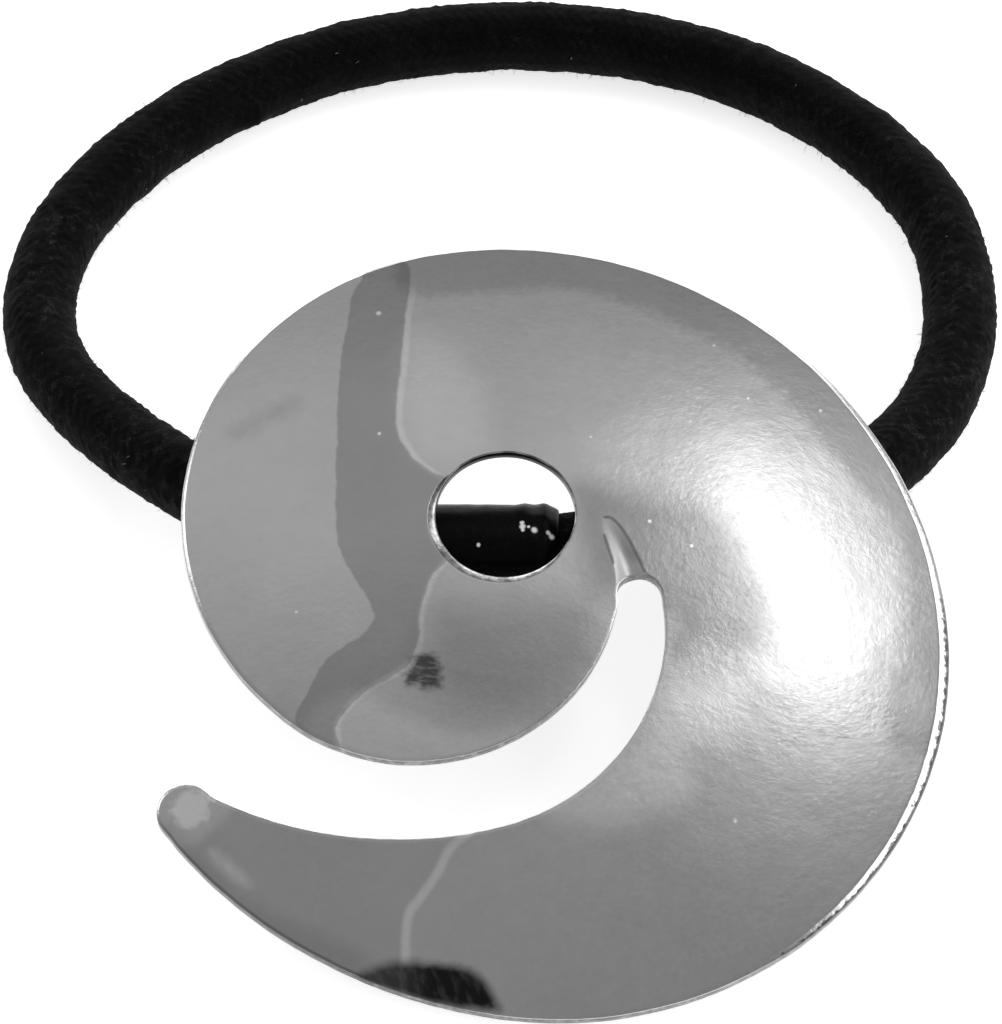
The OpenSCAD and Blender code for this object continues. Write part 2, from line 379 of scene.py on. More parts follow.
def lattice(low, high, step):
    """Points of a triangular lattice over a rectangle."""
    rows = []
    for i, y in enumerate(np.arange(low[1], high[1], step * math.sqrt(3) / 2)):
        x = np.arange(low[0] + (i % 2) * step / 2, high[0], step)
        rows.append(np.stack([x, np.full(len(x), y)], axis=1))
    return np.vstack(rows)


def clear_of(points, others, room):
    """The points that have at least that much room to all the others."""
    tree = KDTree(len(others))
    for i, (x, y) in enumerate(others):
        tree.insert((x, y, 0), i)
    tree.balance()
    return points[[tree.find((x, y, 0))[2] > room for x, y in points]]


def strip(lower, upper):
    """Quads between two closed rows of point numbers."""
    return list(zip(lower, lower[1:] + lower[:1], upper[1:] + upper[:1], upper))


def frames_of(middle):
    """The ways along a line, to its side and up, at each of its points, turned as little as can be."""
    along = np.gradient(middle, axis=0)
    along /= np.linalg.norm(along, axis=1)[:, None]
    first = np.cross((0, 0, 1), along[0]) if abs(along[0][2]) < 0.9 else np.cross((0, 1, 0), along[0])
    side = [first / np.linalg.norm(first)]
    for a in along[1:]:
        s = side[-1] - a * (side[-1] @ a)
        side.append(s / np.linalg.norm(s))
    side = np.array(side)
    return along, side, np.cross(along, side)


def tube(middle, radii, sides):
    """Points and faces of a tube along a line, with a radius for each of its points, closed at both ends."""
    middle = np.asarray(middle, float)
    _, side, up = frames_of(middle)
    turns = np.arange(sides) * 2 * math.pi / sides
    out = np.cos(turns)[None, :, None] * side[:, None] + np.sin(turns)[None, :, None] * up[:, None]
    rings = middle[:, None] + np.asarray(radii, float)[:, None, None] * out
    faces = []
    for i in range(len(middle) - 1):
        lower = list(range(i * sides, (i + 1) * sides))
        faces += strip(lower, [k + sides for k in lower])
    last = (len(middle) - 1) * sides
    faces += [list(range(sides))[::-1], list(range(last, last + sides))]
    return rings.reshape(-1, 3), faces


def braid(u, v):
    """Height of a cover whose yarns go over two and under two others, from 0 to 1.

    u counts the crossings along it, and v counts the columns round it.
    """
    i, j = np.floor(u + v), np.floor(u - v)
    a, b = u + v - i, u - v - j
    k = np.mod(i - j, 4)
    first_yarn = k < 2
    across = np.where(first_yarn, a, b)
    run = np.where(first_yarn, b + (k == 0), a + (k == 3)) / 2
    return np.sin(math.pi * across) ** 0.8 * (0.35 + 0.65 * np.sin(math.pi * run))


def new_object(name, data):
    """A mesh, light or camera, put into the scene."""
    made = bpy.data.objects.new(name, data)
    bpy.context.scene.collection.objects.link(made)
    return made


def new_piece(name, points, faces, material):
    """A piece from points in millimetres, smooth, on the part's one body."""
    mesh = bpy.data.meshes.new(name)
    mesh.from_pydata((np.asarray(points) * MM).tolist(), [], faces)
    mesh.polygons.foreach_set("use_smooth", [True] * len(mesh.polygons))
    mesh.update()
    mesh.materials.append(material)
    piece = new_object(name, mesh)
    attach(piece, "root")
    return piece


def set_values(piece, name, values):
    """A number for each point of the piece, which its material reads by name."""
    attribute = piece.data.attributes.new(name, "FLOAT", "POINT")
    attribute.data.foreach_set("value", np.asarray(values, np.float32))


def ball_height(p, radius):
    """Height of the ball with that radius, under or over the flat places p."""
    return np.sqrt(radius**2 - (p**2).sum(1)) - DOME_R


def dent_sides():
    """The dent's two curves, from its point to inside the slot."""
    return curve_through(DENT_LEFT, DENT_PARTS), curve_through(DENT_RIGHT, DENT_PARTS)


def dent_outline():
    left, right = dent_sides()
    return np.vstack([right, left[::-1]])


def dent_depth(p):
    """How deep the dent is: nothing at its sides and point, most in its middle near the slot."""
    left, right = dent_sides()
    to_left, to_right = distance_to(p, left), distance_to(p, right)
    width = np.maximum(to_left + to_right, 1e-6)
    bowl = np.sin(math.pi * to_left / width) ** 1.6
    from_point = np.linalg.norm(p - DENT_LEFT[0], axis=1) / DENT_LENGTH
    depth = DENT_DEPTH * np.clip(from_point, 0, 1) ** 1.5 * bowl
    return np.where(is_inside(p, dent_outline()), depth, 0)


def top_height(p):
    """Height of the sheet's upper face at the flat places p."""
    return ball_height(p, DOME_R) - dent_depth(p)


def back_height(p):
    """Height of its back there."""
    return ball_height(p, DOME_R - SHEET) - dent_depth(p)


def height_of_hole(points):
    """How high the hole's centre is when the plate, leaning, stands on the lowest of its points."""
    return -(points[:, 1] * math.sin(LEAN) + points[:, 2] * math.cos(LEAN)).min()


def plate_to_tie(p):
    """Points from the plate's frame to the tie's."""
    x, y, z = p.T
    c, s = math.cos(LEAN), math.sin(LEAN)
    return np.stack([HOLE_X + x, HOLE_Y + y * c - z * s, hole_z + y * s + z * c], axis=1)


def tie_to_plate(p):
    """The other way round."""
    d = np.asarray(p, float) - (HOLE_X, HOLE_Y, hole_z)
    c, s = math.cos(LEAN), math.sin(LEAN)
    return np.stack([d[:, 0], d[:, 1] * c + d[:, 2] * s, d[:, 2] * c - d[:, 1] * s], axis=1)


def plate_outline():
    """The plate's closed outline, anticlockwise, with its round tip and slot's end."""
    rim = walk(RIM_START, RIM_HEADING, RIM_ARCS)
    tail = walk(TAIL_START, TAIL_HEADING, TAIL_ARCS)
    room = 0.05  # between the arcs of the ends and the points that are kept
    for centre, radius in ((TIP_CENTRE, TIP_R), (SLOT_END_CENTRE, SLOT_END_R)):
        rim = rim[np.linalg.norm(rim - centre, axis=1) > radius + room]
        tail = tail[np.linalg.norm(tail - centre, axis=1) > radius + room]
    tip = arc(TIP_CENTRE, TIP_R, 360 + angle_of(rim[-1], TIP_CENTRE), angle_of(tail[-1], TIP_CENTRE))
    first, last = angle_of(tail[0], SLOT_END_CENTRE), 360 + angle_of(rim[0], SLOT_END_CENTRE)
    slot_end = arc(SLOT_END_CENTRE, SLOT_END_R, first, last)
    line = resampled(np.vstack([rim, tip, tail[::-1], slot_end])[::-1], OUTLINE_STEP, closed=True)
    return smoothed(line, 4)


def rim_widths(line):
    """Width of the filed edge along the outline: widest at the right and narrowest at the slot's end."""
    angle = np.degrees(np.arctan2(line[:, 1], line[:, 0]))
    far_out = np.clip((np.linalg.norm(line, axis=1) - 14) / 4, 0, 1)
    wide = bell(angle, -22, np.where(angle < -22, 32, 52)) * far_out
    at_left = bell(np.abs(angle), 175, 25)
    narrow = bell(np.linalg.norm(line - SLOT_END_CENTRE, axis=1), 0, 7)
    width = 0.12 + 0.07 * far_out - 0.06 * narrow + 0.48 * wide + 0.1 * at_left
    return width + 0.008 * ripple(line, 21, 2.5)


def hole_widths(line):
    """The same round the hole: widest at the lower left, narrow at the top."""
    angle = np.arctan2(line[:, 1], line[:, 0])
    return 0.1 + 0.54 * np.clip(np.cos(angle - math.radians(232)), 0, 1) ** 0.6


def edge_loops():
    """The outline and the hole: the points of each, the ways into the metal there and the edge's widths."""
    outline = plate_outline()
    uneven = 0.012 * ripple(outline, 22, 6) + 0.006 * ripple(outline, 23, 1.5)
    outline = outline + inward(outline) * uneven[:, None]
    hole = arc((0, 0), EDGE_R, 0, 360, 3)[:-1]
    away = hole / EDGE_R
    hole = hole * (1 + 0.0015 * ripple(hole, 24, 4))[:, None] + EDGE_CENTRE
    return [(outline, inward(outline), rim_widths(outline)), (hole, away, hole_widths(away))]


def flat_face(loops):
    """The face inside the edges: its flat points, its triangles and the numbers of each loop's border."""
    rows = []
    for line, normal, width in loops:
        rows += [line + normal * width[:, None], line + normal * (width + HELD)[:, None]]
    outline, leaf = loops[0][0], dent_outline()
    coarse = lattice(outline.min(0), outline.max(0), FACE_STEP)
    fine = lattice(leaf.min(0) - DENT_ROOM, leaf.max(0) + DENT_ROOM, DENT_STEP)
    fine = fine[depth_inside(fine, leaf) > -DENT_MARGIN]
    inner = np.vstack([fine, clear_of(coarse, fine, DENT_ROOM)])
    inner = inner[is_inside(inner, rows[1]) & ~is_inside(inner, rows[3])]
    inner = clear_of(inner, np.vstack([rows[1], rows[3]]), HELD)

    edges, starts, first = [], [], 0
    for row in rows:
        ids = np.arange(first, first + len(row))
        edges += list(zip(ids.tolist(), np.roll(ids, -1).tolist()))
        starts.append(first)
        first += len(row)
    flat = np.vstack(rows + [inner])
    made = delaunay_2d_cdt([Vector(p) for p in flat], edges, [], 0, 1e-7)
    points, triangles, came_from = np.array(made[0]), made[2], made[3]
    centres = np.array([points[list(t)].mean(0) for t in triangles])
    kept = is_inside(centres, rows[0]) & ~is_inside(centres, rows[2])
    triangles = [list(t) for t, keep in zip(triangles, kept) if keep]
    number = {old: new for new, olds in enumerate(came_from) for old in olds}
    borders = [[number[start + i] for i in range(len(row))] for start, row in zip(starts[::2], rows[::2])]
    return points, triangles, borders


def rounded_edge(line, normal, width):
    """The rows of points from the face round the edge to the back: the flat places and heights of each."""
    rows = []
    for inset, depth in EDGE_SHAPE:
        place = line + normal * (inset * width)[:, None]
        rows.append((place, top_height(place) - depth * width))
    for inset, depth in BACK_EDGE_SHAPE:
        place = line + normal * inset
        rows.append((place, back_height(place) + depth))
    return rows


def plate_mesh():
    """Points and faces of the sheet, with each point's flat place and how far it lies round the edge."""
    loops = edge_loops()
    face, triangles, borders = flat_face(loops)
    count = len(face)
    places = [face, face]
    points = [np.column_stack([face, height(face)]) for height in (top_height, back_height)]
    round_edge = [np.zeros(count), np.full(count, ON_BACK)]
    faces = triangles + [[a + count for a in t[::-1]] for t in triangles]
    total = 2 * count
    for loop, border, is_hole in zip(loops, borders, (False, True)):
        before = border
        for step, (place, height) in enumerate(rounded_edge(*loop)):
            row = list(range(total, total + len(place)))
            total += len(place)
            places.append(place)
            points.append(np.column_stack([place, height]))
            round_edge.append(np.full(len(place), (step + 1) / EDGE_ROWS))
            faces += strip(before, row) if is_hole else strip(row, before)
            before = row
        on_back = [i + count for i in border]
        faces += strip(before, on_back) if is_hole else strip(on_back, before)
    return np.vstack(points), faces, np.vstack(places), np.concatenate(round_edge)


def depths_in_patches(places):
    """How far inside each patch and the dent the flat places of the plate lie, by the mark's name."""
    outlines = {name: curve_through(outline, PATCH_PARTS, closed=True) for name, outline in PATCHES.items()}
    outlines["dent"] = dent_outline()
    return {name: depth_inside(places, outline) for name, outline in outlines.items()}


def distances_to_lines(places):
    """How far they lie from the band's and tail's pale lines and the dent's painted dark line, by the mark's
    name.
    """
    upper, lower, on_tail = (curve_through(t, PALE_LINE_PARTS) for t in (UPPER_BAND_EDGE, LOWER_BAND_EDGE, TAIL_PALE_LINE))
    band_edge = np.vstack([upper, BAND_EDGE_ROUND, lower])
    tail_pale_line = np.vstack([on_tail, TAIL_PALE_LINE_ROUND])
    left, right = dent_sides()
    to_left = distance_to(places, left[DENT_LINE_LEFT])
    to_right = distance_to(places, right[DENT_LINE_RIGHT])
    return {
        "band_edge": depth_inside(places, band_edge),
        "tail_pale_line": depth_inside(places, tail_pale_line),
        "dent_line": np.minimum(to_left, to_right),
    }


def specks_and_glint_on_the_tie():
    """The plate's specks and painted glint, where they lie in the tie's own frame."""
    flat = np.array([(x, y) for x, y, _ in SPECKS_AND_GLINT])
    places = plate_to_tie(np.column_stack([flat, ball_height(flat, DOME_R)]))
    return [(x, y, radius) for (x, y, _), (_, _, radius) in zip(places.tolist(), SPECKS_AND_GLINT)]


class Nodes:
    """A tree of shader nodes and short ways to add to it."""

    def __init__(self, tree):
        self.tree = tree

    def add(self, kind, inputs, output=0, **settings):
        """A node with its settings and inputs, which are numbers, colours or other nodes' outputs."""
        node = self.tree.nodes.new(kind)
        for key, value in settings.items():
            setattr(node, key, value)
        for key, value in inputs.items():
            if isinstance(value, bpy.types.NodeSocket):
                self.tree.links.new(value, node.inputs[key])
            else:
                node.inputs[key].default_value = value
        return node.outputs[output]

    def math(self, operation, a, b=0):
        return self.add("ShaderNodeMath", {0: a, 1: b}, operation=operation)

    def product(self, a, b):
        return self.math("MULTIPLY", a, b)

    def vector(self, operation, a, b=(0, 0, 0), output=0):
        return self.add("ShaderNodeVectorMath", {0: a, 1: b}, output, operation=operation)

    def axis(self, at, name):
        """A place's part along the axis X, Y or Z."""
        return self.add("ShaderNodeSeparateXYZ", {0: at}, output=name)

    def mixed(self, share, a, b):
        """a where share is 0 and b where it is 1."""
        return self.add("ShaderNodeMix", {"Factor": share, "A": a, "B": b}, data_type="FLOAT")

    def times(self, tone, share, factor):
        """The tone, multiplied by the factor where share is 1."""
        return self.mixed(share, tone, self.product(tone, factor))

    def between(self, value, low, high, out_low=0, out_high=1, smooth=True):
        """out_low up to the value low, out_high from the value high on, and a passage between them."""
        inputs = {"Value": value, "From Min": low, "From Max": high, "To Min": out_low, "To Max": out_high}
        kind = "SMOOTHSTEP" if smooth else "LINEAR"
        return self.add("ShaderNodeMapRange", inputs, interpolation_type=kind, clamp=True)

    def spread(self, noise, low, high, first=0.3, last=0.7):
        """A noise's usual values, which go from first to last, spread evenly from low to high."""
        return self.between(noise, first, last, low, high, smooth=False)


class Shader(Nodes):
    """A material, and short ways to add what it reads: places, noise and the points' own values."""

    def __init__(self, name):
        self.material = bpy.data.materials.new(name)
        self.material.use_nodes = True
        super().__init__(self.material.node_tree)
        self.surface = self.tree.nodes["Principled BSDF"]

    def value_of(self, name):
        return self.add("ShaderNodeAttribute", {}, output=2, attribute_name=name)

    def patch(self, name, soft, uneven=0):
        """1 inside the mark of that name and 0 outside it, with a border of soft on both sides."""
        return self.between(self.math("ADD", self.value_of(name), uneven), -soft, soft)

    def line(self, name, half, soft):
        """1 within half a width of the line of that name and 0 away from it, with a soft border."""
        away = self.math("ABSOLUTE", self.value_of(name))
        return self.between(away, half - soft, half + soft, 1, 0)

    def on_object(self):
        """The place on the object, in metres."""
        return self.add("ShaderNodeTexCoord", {}, output="Object")

    def place(self, turn=(0, 0, 0), stretch=(1, 1, 1)):
        """The place on the object in millimetres, turned and then stretched."""
        at = self.add("ShaderNodeMapping", {"Vector": self.on_object(), "Rotation": turn})
        return self.add("ShaderNodeMapping", {"Vector": at, "Scale": [s / MM for s in stretch]})

    def round_the_hole(self, outwards, around):
        """The distance from the hole's middle and the way to it, stretched: noise there runs in arcs."""
        away = self.vector("SUBTRACT", self.on_object(), (HOLE_X * MM, HOLE_Y * MM, 0))
        away = self.vector("MULTIPLY", away, (1, 1, 0))
        way = self.vector("MULTIPLY", self.vector("NORMALIZE", away), (around, around, 0))
        far = self.product(self.vector("LENGTH", away, output=1), outwards / MM)
        return self.vector("ADD", way, self.add("ShaderNodeCombineXYZ", {2: far}))

    def spots(self, places):
        """1 on small round spots, seen from above, and 0 elsewhere. Each is its (x, y, radius)."""
        at = self.vector("MULTIPLY", self.on_object(), (1, 1, 0))
        total = 0.0
        for x, y, radius in places:
            away = self.vector("DISTANCE", at, (x * MM, y * MM, 0), output=1)
            spot = self.between(away, radius * 0.4 * MM, radius * 1.3 * MM, 1, 0)
            total = self.math("ADD", total, spot)
        return total

    def noise(self, at, scale, detail=2, rough=0.5):
        inputs = {"Vector": at, "Scale": scale, "Detail": detail, "Roughness": rough}
        return self.add("ShaderNodeTexNoise", inputs)

    def bump(self, height, depth_mm, normal=None):
        """Bumps that are depth_mm high where height goes from 0 to 1."""
        inputs = {"Height": height, "Strength": 1, "Distance": depth_mm * MM}
        if normal is not None:
            inputs["Normal"] = normal
        return self.add("ShaderNodeBump", inputs)

    def set(self, **values):
        """Sets the surface's sockets, by name with _ for a space."""
        for key, value in values.items():
            socket = self.surface.inputs[key.replace("_", " ")]
            if isinstance(value, bpy.types.NodeSocket):
                self.tree.links.new(value, socket)
            else:
                socket.default_value = value
        return self.material


class PlateMetal(Shader):
    """Satin metal: painted shade, highlight and reflection, pale lines, dark marks, specks, fine sanding
    marks.
    """

    def __init__(self):
        super().__init__("plate_metal")
        self.here = self.place()
        self.across, self.backwards = self.axis(self.here, "X"), self.axis(self.here, "Y")
        self.clouds = self.noise(self.here, 0.12, 3)
        self.blotches = self.noise(self.here, 0.9, 4, 0.65)
        self.grain = self.noise(self.here, 3.4, 4, 0.65)
        self.nicks = self.noise(self.here, 2, 3, 0.6)
        self.wobble = self.spread(self.noise(self.here, 1.1), -0.07, 0.07)
        self.ragged = self.spread(self.noise(self.here, 1.5, 2, 0.6), -0.2, 0.2)
        self.edge, self.hole_wall = self.value_of("edge"), self.value_of("hole_wall")
        off_face, off_back = self.between(self.edge, 0.02, 0.2), self.between(self.edge, 0.9, 1, 1, 0)
        self.on_edge = self.product(off_face, off_back)
        self.on_back = self.between(self.edge, 1, 1.1)
        self.dent = self.patch("dent", 0.12)
        self.on_tail = self.patch("tail_shade", 0.8, self.wobble)
        self.smudge, self.lens = self.dark_smudge(), self.dark_lens()

    def dark_smudge(self):
        """The streaky smudge beside the hole."""
        streaks = self.noise(self.place(turn=(0, 0, 0.1), stretch=(0.3, 1, 1)), 3.5, 3, 0.7)
        streaks = self.between(streaks, 0.3, 0.55, 0.7, 1)
        return self.product(self.patch("smudge", 0.35, self.ragged), streaks)

    def dark_lens(self):
        """The black, slightly scraped lens at the front rim."""
        scraped = self.noise(self.place(turn=(0, 0, -0.35), stretch=(1, 0.22, 1)), 2.2)
        scraped = self.between(scraped, 0.45, 0.75, 1, 0.93)
        lens = self.product(self.patch("dark_lens", 0.42, self.wobble), scraped)
        return self.product(lens, self.between(self.across, -7.8, -3.5, 0.88, 1))

    def plain_tone(self):
        """The bare metal, a little cloudy, blotched and grainy."""
        tone = self.spread(self.clouds, 0.55, 0.59)
        tone = self.math("ADD", tone, self.spread(self.blotches, -0.012, 0.012))
        return self.math("ADD", tone, self.spread(self.grain, -0.010, 0.010))

    def with_darker_and_paler_areas(self, tone):
        """With the darker and paler areas, mostly painted shade, painted highlight and painted reflection.
        """
        for name, soft, factor in SOFT_PATCHES:
            tone = self.times(tone, self.patch(name, soft, self.wobble), factor)
        tone = self.times(tone, self.patch("cloud", 0.9, self.ragged), 0.84)
        # painted shade inside the rim, kept off its filed edge
        on_face = self.mixed(self.on_edge, self.patch("rim_shade", 0.7, self.ragged), 0)
        tone = self.times(tone, on_face, 0.76)
        # painted shade beside the dent, which shapes the highlight
        beside_dent = self.mixed(self.dent, self.patch("hollow_shade", 1.5, self.wobble), 0)
        return self.times(tone, beside_dent, 0.57)

    def with_marks(self, tone):
        """With the pale lines, the pale spots at the tip, the specks and painted glint, the smudge and the
        lens.
        """
        # the band's pale edge is part of its painted reflection, fading out towards the back
        band_edge = self.product(self.line("band_edge", 0.2, 0.16), self.between(self.blotches, 0.3, 0.5, 0.6, 1))
        tone = self.times(tone, self.product(band_edge, self.between(self.backwards, 3, 6.5, 1, 0)), 1.2)
        tone = self.times(tone, self.line("tail_pale_line", 0.26, 0.18), 1.34)
        tone = self.times(tone, self.patch("tip_zone", 0.5, self.wobble), 1.25)
        tone = self.times(tone, self.patch("tip_spot", 0.25, self.ragged), 1.42)
        tone = self.times(tone, self.patch("streak", 0.5, self.wobble), 1.4)
        # pale specks, and at the tip a painted glint
        tone = self.mixed(self.spots(specks_and_glint_on_the_tie()), tone, 0.9)
        tone = self.mixed(self.smudge, tone, 0.08)
        return self.mixed(self.lens, tone, 0.017)

    def with_worn_and_shaded_edges(self, tone):
        """Darker in the worn lower part of the right edge, round the hole, and all along the tail's edge as
        painted shade.
        """
        at_right = self.product(self.on_edge, self.between(self.across, 13, 18))
        at_right = self.product(at_right, self.between(self.backwards, -17, -13, 1, 0))
        worn_to = self.math("ADD", self.edge, self.between(self.nicks, 0.35, 0.6, 0.12, -0.03))
        tone = self.times(tone, self.product(at_right, self.between(worn_to, 0.35, 0.42)), 0.3)
        # painted shade all along the tail's edge
        tone = self.times(tone, self.product(self.on_edge, self.on_tail), 0.6)
        blotched = self.between(self.blotches, 0.35, 0.65, 0.25, 0.9)
        return self.product(tone, self.mixed(self.product(self.on_edge, self.hole_wall), 1, blotched))

    def with_dent(self, tone):
        # a little darker in the dent, darker still in its upper part as painted shade, with painted dark
        # lines of shade along its sides
        tone = self.times(tone, self.dent, 0.88)
        tone = self.times(tone, self.product(self.dent, self.patch("dent_shade", 0.5)), 0.74)
        return self.times(tone, self.line("dent_line", 0.09, 0.07), 0.45)

    def with_wall_and_back(self, tone):
        """With the cut wall of the sheet painted dark as shade, black in the hole and darker on the tail,
        and the dull back.
        """
        # painted shade on the cut wall, black inside the hole
        wall = self.mixed(self.hole_wall, self.between(self.nicks, 0.4, 0.7, 0.16, 0.34), 0.012)
        tone = self.mixed(self.between(self.edge, 0.5, 0.62), tone, self.times(wall, self.on_tail, 0.5))
        return self.mixed(self.on_back, tone, 0.2)

    def roughness(self):
        rough = self.spread(self.grain, 0.20, 0.25)
        rough = self.mixed(self.math("MAXIMUM", self.smudge, self.lens), rough, 0.5)
        rough = self.mixed(self.dent, rough, 0.31)
        return self.mixed(self.on_back, rough, 0.4)

    def bumps(self):
        """The sheet's unevenness, from its slow waves to the sanding marks and the nicks of its edge."""
        patchy = self.between(self.noise(self.here, 0.3), 0.4, 0.6, 0.35, 1)
        strokes = self.noise(self.place(turn=(0, 0, 1.1), stretch=(1, 0.25, 1)), 5)
        arcs = self.noise(self.round_the_hole(4, 9), 1)
        bumpy = self.product(self.on_edge, self.between(self.hole_wall, 0, 1, 1, 0.25))
        layers = [
            (self.clouds, 0.05),
            (self.math("ADD", self.product(self.blotches, 1.5), self.grain), 0.0045),
            (self.product(self.noise(self.here, 2.6, 2, 0.6), patchy), 0.0065),
            (self.math("ADD", strokes, arcs), 0.0007),
            (self.noise(self.here, 9), 0.0012),
            (self.product(self.nicks, bumpy), 0.018),
        ]
        normal = None
        for height, depth_mm in layers:
            normal = self.bump(height, depth_mm, normal)
        return normal

    def finished(self):
        tone = self.with_marks(self.with_darker_and_paler_areas(self.plain_tone()))
        tone = self.with_wall_and_back(self.with_dent(self.with_worn_and_shaded_edges(tone)))
        return self.set(Metallic=1, Base_Color=tone, Roughness=self.roughness(), Normal=self.bumps())


def elastic_cover():
    """Black braided yarn, painted darker between its yarns as shade, with a little fuzz and, in front, some
    paler flecks.
    """
    cover = Shader("elastic_cover")
    here = cover.place()
    yarn = cover.noise(here, 6, 3, 0.6)
    tone = cover.between(yarn, 0.35, 0.75, 0.001, 0.006)
    tone = cover.product(tone, cover.spread(cover.noise(here, 0.25), 0.5, 1.5, 0.35, 0.65))
    in_front = cover.between(cover.axis(here, "Y"), 14, 34, 1, 0.2)
    flecks = cover.between(cover.noise(here, 1.4, 3, 0.6), 0.48, 0.66, 0.5, 3.6)
    tone = cover.product(tone, cover.mixed(in_front, 0.7, flecks))
    # painted shade: darker where the braid is low, between the yarns
    tone = cover.product(tone, cover.spread(cover.value_of("braid"), 0.45, 1.25, 0.1, 0.9))
    return cover.set(
        Base_Color=tone, Roughness=0.8, Specular_IOR_Level=0.08, Sheen_Weight=0.008, Sheen_Roughness=0.5,
        Normal=cover.bump(yarn, 0.03),
    )


def fuzz_fibre():
    """Dark fibres, the paler the more they are lint."""
    fibre = Shader("fuzz_fibre")
    tone = fibre.spread(fibre.value_of("lint"), 0.012, 0.22, 0, 1)
    tone = fibre.product(tone, fibre.spread(fibre.noise(fibre.place(), 2), 0.7, 1.3))
    return fibre.set(Base_Color=tone, Roughness=0.8, Specular_IOR_Level=0.2)


def sleeve_plastic():
    """Black glossy shrunk plastic with fine creases and painted glints."""
    plastic = Shader("sleeve_plastic")
    dust = plastic.noise(plastic.place(), 4, 3, 0.65)
    rough = plastic.spread(dust, 0.28, 0.4, 0.35, 0.7)
    tone = plastic.spread(dust, 0.001, 0.004, 0.45, 0.8)
    # painted glints: pale spots where the creases catch the light
    tone = plastic.mixed(plastic.spots(GLINTS), tone, 0.95)
    creases = plastic.noise(plastic.place(stretch=(1, 0.6, 0.6)), 1.6)
    return plastic.set(
        Base_Color=tone, Roughness=rough, Specular_IOR_Level=0.07, Normal=plastic.bump(creases, 0.04)
    )


def pale_floor():
    """Almost white, and bright enough by itself to nearly drown the shadows."""
    floor = Shader("pale_floor")
    tone = floor.spread(floor.noise(floor.place(), 0.01), 0.88, 0.92)
    return floor.set(
        Base_Color=tone, Roughness=0.7, Specular_IOR_Level=0.1, Emission_Color=(1, 1, 1, 1),
        Emission_Strength=0.72,
    )


def make_camera():
    """The photo's camera, and plain tones for its picture."""
    data = bpy.data.cameras.new("camera")
    data.sensor_fit = "HORIZONTAL"
    data.sensor_width = CAMERA_SENSOR
    data.lens = CAMERA_LENS
    camera = new_object("camera", data)
    camera.location = [c * MM for c in CAMERA_AT]
    camera.rotation_euler = (CAMERA_TILT, 0, 0)
    bpy.context.scene.camera = camera
    bpy.context.scene.view_settings.view_transform = "Standard"


def make_light(name, at, size, power, turn):
    """A soft light that faces the middle of the tie."""
    data = bpy.data.lights.new(name, "AREA")
    data.shape = "RECTANGLE"
    data.size, data.size_y = size[0] * MM, size[1] * MM
    data.energy = power
    light = new_object(name, data)
    light.location = [a * MM for a in at]
    facing = (-Vector(light.location)).to_track_quat("-Z", "Y")
    light.rotation_euler = (facing @ Quaternion((0, 0, 1), math.radians(turn))).to_euler()


def make_room():
    """A pale room that is darker overhead and in front, and a little darker at the right."""
    world = bpy.data.worlds.new("room")
    world.use_nodes = True
    nodes = Nodes(world.node_tree)
    way = nodes.add("ShaderNodeTexCoord", {}, output="Generated")
    brightness = 1.0
    for axis, *span in reversed(ROOM_SHADES):
        brightness = nodes.product(nodes.between(nodes.axis(way, axis), *span), brightness)
    background = world.node_tree.nodes["Background"]
    background.inputs["Color"].default_value = (1, 1, 1, 1)
    world.node_tree.links.new(brightness, background.inputs["Strength"])
    bpy.context.scene.world = world


def make_floor():
    mesh = bpy.data.meshes.new("floor")
    corners = [(x * FLOOR_HALF, y * FLOOR_HALF, 0) for x, y in ((-1, -1), (1, -1), (1, 1), (-1, 1))]
    mesh.from_pydata(corners, [], [(0, 1, 2, 3)])
    mesh.materials.append(pale_floor())
    new_object("floor", mesh)


def make_elastic():
    """The elastic as a tube with a braided relief, and its loose fibres."""
    middle = resampled(curve_through(np.array(ROUTE, float) + LYING), ELASTIC_STEP)
    _, side, up = frames_of(middle)
    along = np.linspace(0, ELASTIC_STEP * (len(middle) - 1), len(middle))
    u = np.repeat(along / BRAID_PITCH, ELASTIC_SIDES)
    v = np.tile(np.arange(ELASTIC_SIDES) * BRAID_COLUMNS / ELASTIC_SIDES, len(middle))
    height = braid(u, v)
    points, faces = tube(middle, np.full(len(middle), 1.0), ELASTIC_SIDES)
    centres = np.repeat(middle, ELASTIC_SIDES, axis=0)
    out = points - centres
    worn = 0.65 + 0.35 * np.clip(ripple(points, 5, 2.5), -1, 1)
    radius = ELASTIC_D / 2 + BRAID_RELIEF * worn * (height - 0.5)
    radius += sum(size * ripple(points, seed, scale) for size, seed, scale in ELASTIC_RIPPLES)
    from_pull = np.linalg.norm(points + out * (ELASTIC_D / 2) - PULL_AT, axis=1)
    radius += PULL_HEIGHT * bell(from_pull, 0, PULL_SPREAD)
    points = centres + out * radius[:, None]
    elastic = new_piece("elastic", points, faces, elastic_cover())
    set_values(elastic, "braid", height)
    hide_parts("elastic_cord")
    make_fuzz(middle, side, up)


